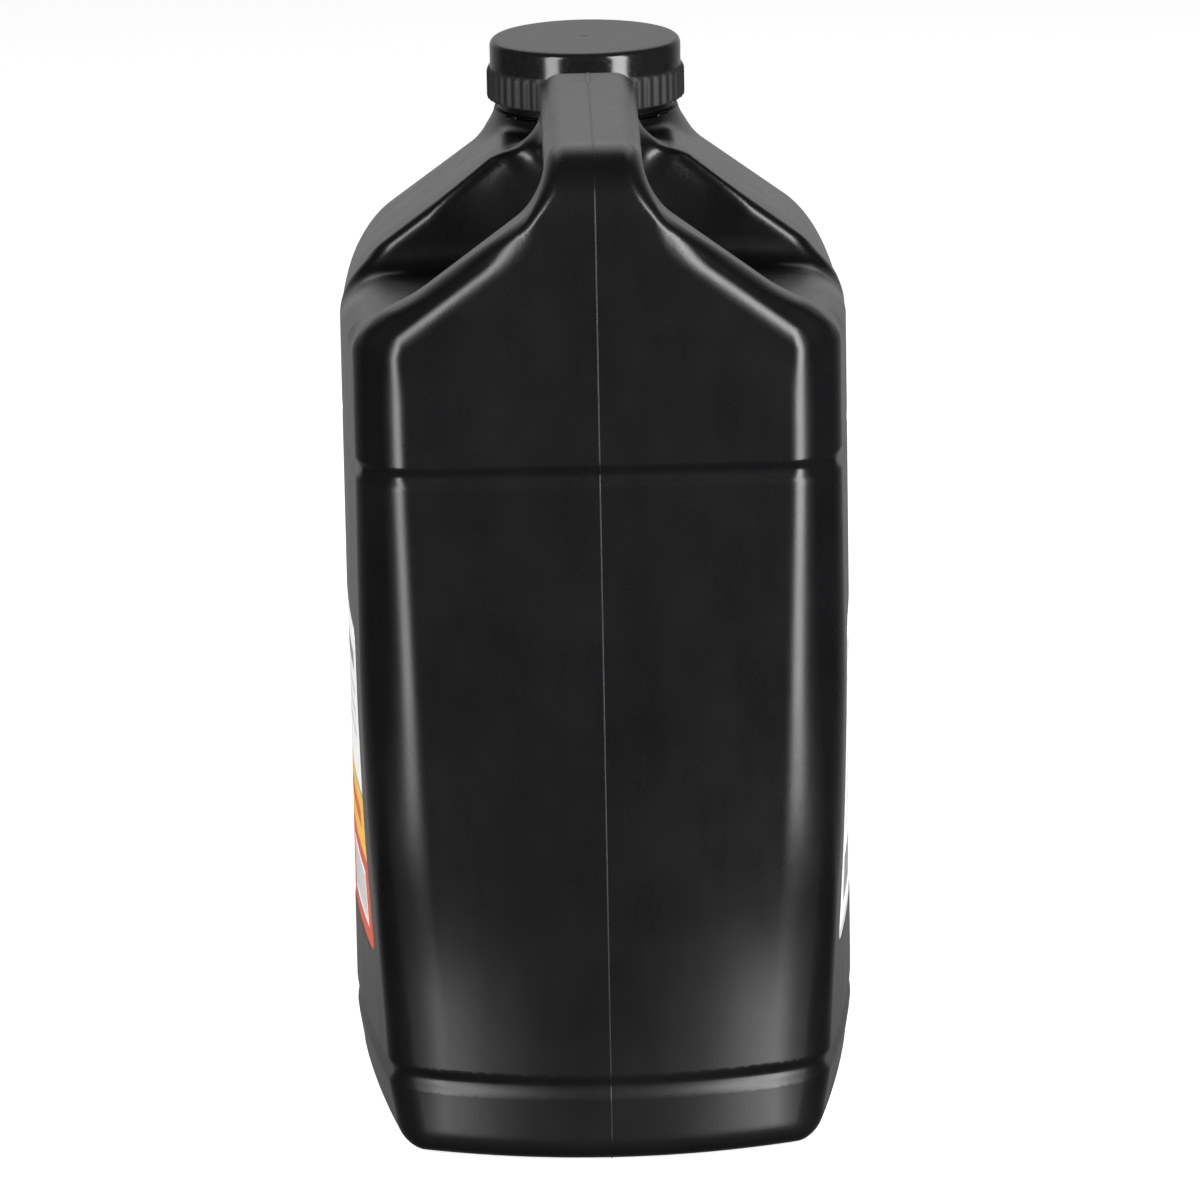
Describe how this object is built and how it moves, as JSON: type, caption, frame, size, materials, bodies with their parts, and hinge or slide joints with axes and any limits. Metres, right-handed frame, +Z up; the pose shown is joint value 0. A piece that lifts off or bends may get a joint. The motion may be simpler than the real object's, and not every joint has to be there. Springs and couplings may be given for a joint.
{
  "type": "motor oil bottle",
  "caption": "Large black blow-moulded oil jug with a through grip, sloping shoulders, wide threaded neck, ribbed screw cap with liner, and a printed label on each broad side.",
  "frame": {"origin": "middle of the footprint, on the surface that the jug stands on", "axes": "+Z up; X across the width, the mould's parting plane is X = 0; Y along the length, with the grip's back strap at -Y and the neck towards +Y"},
  "size_m": [0.165, 0.24, 0.337],
  "materials": {
    "jug_plastic": "satin-gloss blown polyethylene with a fine mould texture",
    "cap_plastic": "moulded polypropylene, fine-textured top and glossy side",
    "liner_foam": "smooth foam wad",
    "label_print": "gloss-coated print with white, yellow and red fields"
  },
  "bodies": {
    "jug_body": {"jug": "jug_plastic", "label_left": "label_print", "label_right": "label_print"},
    "cap_carrier": {"cap_liner": "liner_foam"},
    "cap_body": {"cap": "cap_plastic"}
  },
  "joints": [
    {"name": "cap_lift", "type": "slide", "parent": "jug_body", "child": "cap_carrier", "axis": [0, 0, 1], "range_m": [0, 0.02175]},
    {"name": "cap_turn", "type": "hinge", "parent": "cap_carrier", "child": "cap_body", "pos_m": [0, 0.048, 0.3272], "axis": [0, 0, 1], "range_deg": [0, 1530]}
  ],
  "couplings": [
    {"joint": "cap_lift", "follows": "cap_turn", "m_per_rad": 0.00079577}
  ]
}
